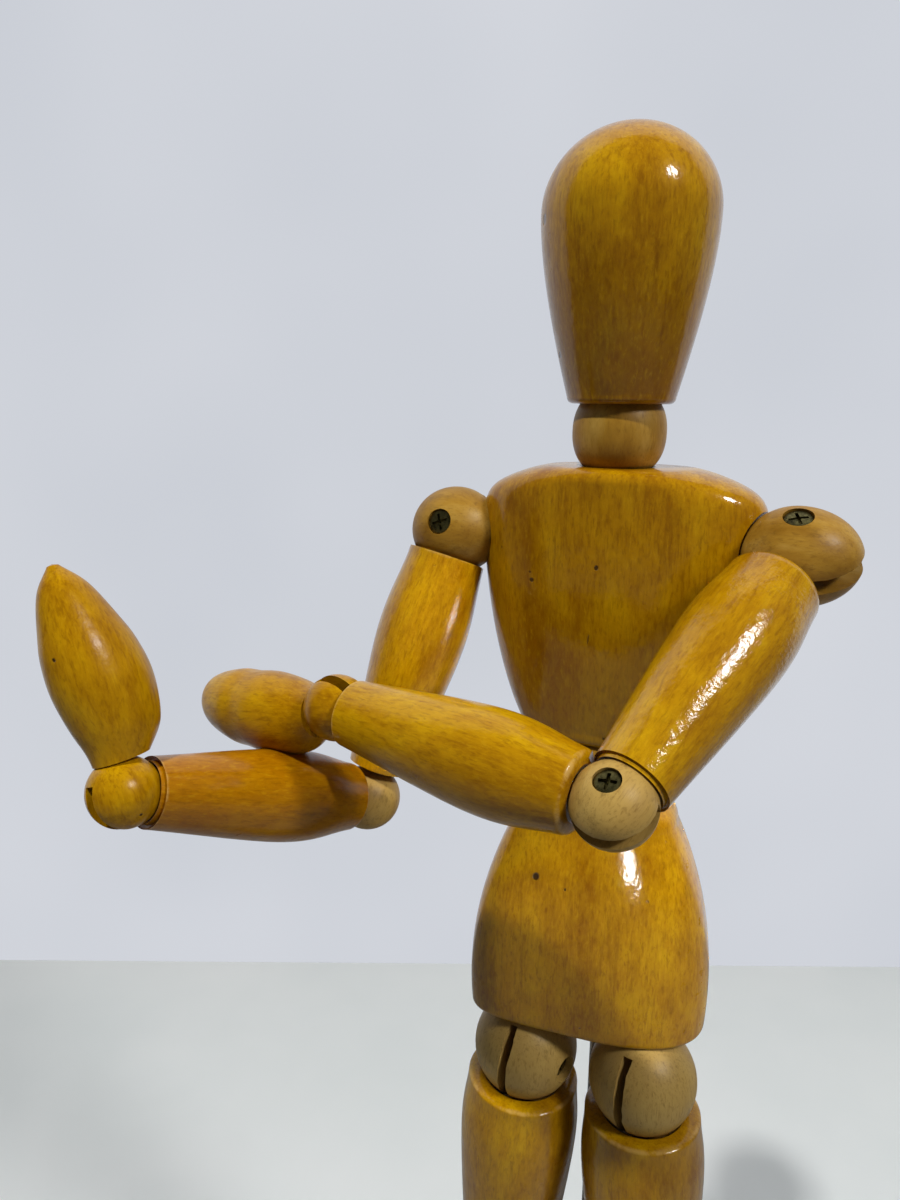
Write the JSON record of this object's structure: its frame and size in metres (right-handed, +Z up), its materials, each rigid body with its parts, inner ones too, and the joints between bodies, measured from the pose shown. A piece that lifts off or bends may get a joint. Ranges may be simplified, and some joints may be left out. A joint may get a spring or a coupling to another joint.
{
  "type": "jointed artist's mannequin",
  "caption": "Jointed wooden artist's figure with an egg head, ball joints and steel links, posed with bent arms, standing on a rod in a round base.",
  "frame": {"origin": "centre of the round base's flat underside", "axes": "+Z up along the stand's rod; the pelvis and feet face -Y; the figure's left arm is on +X"},
  "size_m": [0.1277, 0.1305, 0.3817],
  "materials": {
    "varnished_wood": "glossy amber varnish over turned hardwood",
    "raw_wood": "matte raw turned wood",
    "base_varnished_wood": "glossy amber varnish",
    "steel": "plain drawn steel",
    "screw_brass": "dull, slightly tarnished"
  },
  "bodies": {
    "stand": {"base": "base_varnished_wood", "rod": "steel"},
    "pelvis": {"pelvis": "varnished_wood"},
    "waist_link": {"waist_link": "steel"},
    "waist_ball": {"waist_ball": "raw_wood", "waist_pin": "steel"},
    "chest": {"chest": "varnished_wood"},
    "neck_link": {"neck_link": "steel"},
    "neck_ball": {"neck_ball": "raw_wood", "neck_pin": "steel"},
    "head": {"head": "varnished_wood"},
    "shoulder_ball_left": {"shoulder_ball_left": "raw_wood", "shoulder_screw_left": "screw_brass"},
    "upper_arm_left": {"upper_arm_left": "varnished_wood", "upper_arm_link_left": "steel"},
    "elbow_ball_left": {"elbow_ball_left": "raw_wood", "elbow_screw_left": "screw_brass"},
    "forearm_left": {"forearm_left": "varnished_wood", "forearm_link_left": "steel"},
    "wrist_link_left": {"wrist_link_left": "steel"},
    "hand_left": {"hand_left": "varnished_wood", "wrist_pin_left": "steel"},
    "hip_ball_left": {"hip_ball_left": "raw_wood", "hip_screw_left": "screw_brass"},
    "thigh_left": {"thigh_left": "varnished_wood", "thigh_link_left": "steel"},
    "knee_ball_left": {"knee_ball_left": "raw_wood", "knee_screw_left": "screw_brass"},
    "shin_left": {"shin_left": "varnished_wood", "shin_link_left": "steel"},
    "ankle_link_left": {"ankle_link_left": "steel"},
    "foot_left": {"foot_left": "varnished_wood", "ankle_pin_left": "steel"},
    "shoulder_ball_right": {"shoulder_ball_right": "raw_wood", "shoulder_screw_right": "screw_brass"},
    "upper_arm_right": {"upper_arm_right": "varnished_wood", "upper_arm_link_right": "steel"},
    "elbow_ball_right": {"elbow_ball_right": "raw_wood", "elbow_screw_right": "screw_brass"},
    "forearm_right": {"forearm_right": "varnished_wood", "forearm_link_right": "steel"},
    "wrist_link_right": {"wrist_link_right": "steel"},
    "hand_right": {"hand_right": "varnished_wood", "wrist_pin_right": "steel"},
    "hip_ball_right": {"hip_ball_right": "raw_wood", "hip_screw_right": "screw_brass"},
    "thigh_right": {"thigh_right": "varnished_wood", "thigh_link_right": "steel"},
    "knee_ball_right": {"knee_ball_right": "raw_wood", "knee_screw_right": "screw_brass"},
    "shin_right": {"shin_right": "varnished_wood", "shin_link_right": "steel"},
    "ankle_link_right": {"ankle_link_right": "steel"},
    "foot_right": {"foot_right": "varnished_wood", "ankle_pin_right": "steel"}
  },
  "joints": [
    {"name": "stand_turn", "type": "hinge", "parent": "stand", "child": "pelvis", "pos_m": [0, 0, 0], "axis": [0, 0, 1], "continuous": true},
    {"name": "waist_turn", "type": "hinge", "parent": "pelvis", "child": "waist_link", "pos_m": [0, -0.0105, 0.26314], "axis": [0, 0, 1], "range_deg": [-40, 40]},
    {"name": "waist_bow", "type": "hinge", "parent": "waist_link", "child": "waist_ball", "pos_m": [0, -0.0105, 0.26314], "axis": [0.9976, -0.0698, 0], "range_deg": [-20, 20]},
    {"name": "waist_twist", "type": "hinge", "parent": "waist_ball", "child": "chest", "pos_m": [0, -0.0105, 0.26314], "axis": [0, 0, 1], "range_deg": [-40, 40]},
    {"name": "neck_turn", "type": "hinge", "parent": "chest", "child": "neck_link", "pos_m": [0, -0.0105, 0.32959], "axis": [0, 0, 1], "range_deg": [-60, 60]},
    {"name": "neck_bow", "type": "hinge", "parent": "neck_link", "child": "neck_ball", "pos_m": [0, -0.0105, 0.32959], "axis": [0.9976, -0.0698, 0], "range_deg": [-25, 25]},
    {"name": "neck_twist", "type": "hinge", "parent": "neck_ball", "child": "head", "pos_m": [0, -0.0105, 0.32959], "axis": [0, 0, 1], "range_deg": [-60, 60]},
    {"name": "shoulder_swivel_left", "type": "hinge", "parent": "chest", "child": "shoulder_ball_left", "pos_m": [0.03251, -0.01578, 0.30949], "axis": [-0.9976, 0.0698, 0], "range_deg": [0, 60]},
    {"name": "shoulder_hinge_left", "type": "hinge", "parent": "shoulder_ball_left", "child": "upper_arm_left", "pos_m": [0.03251, -0.01578, 0.30949], "axis": [-0.0387, -0.5535, 0.832], "range_deg": [-5, 0]},
    {"name": "elbow_swivel_left", "type": "hinge", "parent": "upper_arm_left", "child": "elbow_ball_left", "pos_m": [0.01163, -0.05966, 0.27932], "axis": [0.3651, 0.7672, 0.5274], "range_deg": [0, 60]},
    {"name": "elbow_hinge_left", "type": "hinge", "parent": "elbow_ball_left", "child": "forearm_left", "pos_m": [0.01163, -0.05966, 0.27932], "axis": [-0.0825, -0.5376, 0.8392], "range_deg": [-5, 0]},
    {"name": "wrist_swivel_left", "type": "hinge", "parent": "forearm_left", "child": "wrist_link_left", "pos_m": [-0.04001, -0.04721, 0.28222], "axis": [0.9707, -0.234, -0.0545], "range_deg": [-15, 90]},
    {"name": "wrist_hinge_left", "type": "hinge", "parent": "wrist_link_left", "child": "hand_left", "pos_m": [-0.04001, -0.04721, 0.28222], "axis": [0.2403, 0.9431, 0.23], "range_deg": [0, 75]},
    {"name": "hip_swivel_left", "type": "hinge", "parent": "pelvis", "child": "hip_ball_left", "pos_m": [0.0127, -0.0155, 0.19779], "axis": [0.0523, 0, -0.9986], "range_deg": [-40, 0]},
    {"name": "hip_hinge_left", "type": "hinge", "parent": "hip_ball_left", "child": "thigh_left", "pos_m": [0.0127, -0.0155, 0.19779], "axis": [0.9599, -0.2756, 0.0503], "range_deg": [-75, 15]},
    {"name": "knee_swivel_left", "type": "hinge", "parent": "thigh_left", "child": "knee_ball_left", "pos_m": [0.01689, -0.0155, 0.1179], "axis": [0.0523, 0, -0.9986], "range_deg": [-30, 30]},
    {"name": "knee_hinge_left", "type": "hinge", "parent": "knee_ball_left", "child": "shin_left", "pos_m": [0.01689, -0.0155, 0.1179], "axis": [-0.9599, 0.2756, -0.0503], "range_deg": [-75, 0]},
    {"name": "ankle_swivel_left", "type": "hinge", "parent": "shin_left", "child": "ankle_link_left", "pos_m": [0.02086, -0.0155, 0.042], "axis": [0.0523, 0, -0.9986], "range_deg": [-30, 30]},
    {"name": "ankle_hinge_left", "type": "hinge", "parent": "ankle_link_left", "child": "foot_left", "pos_m": [0.02086, -0.0155, 0.042], "axis": [0.9599, -0.2756, 0.0503], "range_deg": [-20, 20]},
    {"name": "shoulder_swivel_right", "type": "hinge", "parent": "chest", "child": "shoulder_ball_right", "pos_m": [-0.03293, -0.0112, 0.30949], "axis": [0.9976, -0.0698, 0], "range_deg": [0, 120]},
    {"name": "shoulder_hinge_right", "type": "hinge", "parent": "shoulder_ball_right", "child": "upper_arm_right", "pos_m": [-0.03293, -0.0112, 0.30949], "axis": [0.0661, 0.9455, -0.319], "range_deg": [-8, 0]},
    {"name": "elbow_swivel_right", "type": "hinge", "parent": "upper_arm_right", "child": "elbow_ball_right", "pos_m": [-0.04399, -0.02845, 0.25608], "axis": [0.1934, 0.3015, 0.9337], "range_deg": [0, 50]},
    {"name": "elbow_hinge_right", "type": "hinge", "parent": "elbow_ball_right", "child": "forearm_right", "pos_m": [-0.04399, -0.02845, 0.25608], "axis": [0.9112, -0.408, -0.057], "range_deg": [0, 80]},
    {"name": "wrist_swivel_right", "type": "hinge", "parent": "forearm_right", "child": "wrist_link_right", "pos_m": [-0.06356, -0.07462, 0.27385], "axis": [0.3677, 0.8679, -0.334], "range_deg": [-90, 90]},
    {"name": "wrist_hinge_right", "type": "hinge", "parent": "wrist_link_right", "child": "hand_right", "pos_m": [-0.06356, -0.07462, 0.27385], "axis": [0.9104, -0.2627, 0.3198], "range_deg": [-14, 75]},
    {"name": "hip_swivel_right", "type": "hinge", "parent": "pelvis", "child": "hip_ball_right", "pos_m": [-0.0127, -0.0155, 0.19779], "axis": [0.0523, 0, 0.9986], "range_deg": [-40, 0]},
    {"name": "hip_hinge_right", "type": "hinge", "parent": "hip_ball_right", "child": "thigh_right", "pos_m": [-0.0127, -0.0155, 0.19779], "axis": [0.9835, -0.1736, -0.0515], "range_deg": [-75, 15]},
    {"name": "knee_swivel_right", "type": "hinge", "parent": "thigh_right", "child": "knee_ball_right", "pos_m": [-0.01689, -0.0155, 0.1179], "axis": [0.0523, 0, 0.9986], "range_deg": [-30, 30]},
    {"name": "knee_hinge_right", "type": "hinge", "parent": "knee_ball_right", "child": "shin_right", "pos_m": [-0.01689, -0.0155, 0.1179], "axis": [-0.9835, 0.1736, 0.0515], "range_deg": [-75, 0]},
    {"name": "ankle_swivel_right", "type": "hinge", "parent": "shin_right", "child": "ankle_link_right", "pos_m": [-0.02086, -0.0155, 0.042], "axis": [0.0523, 0, 0.9986], "range_deg": [-30, 30]},
    {"name": "ankle_hinge_right", "type": "hinge", "parent": "ankle_link_right", "child": "foot_right", "pos_m": [-0.02086, -0.0155, 0.042], "axis": [0.9835, -0.1736, -0.0515], "range_deg": [-20, 20]}
  ]
}
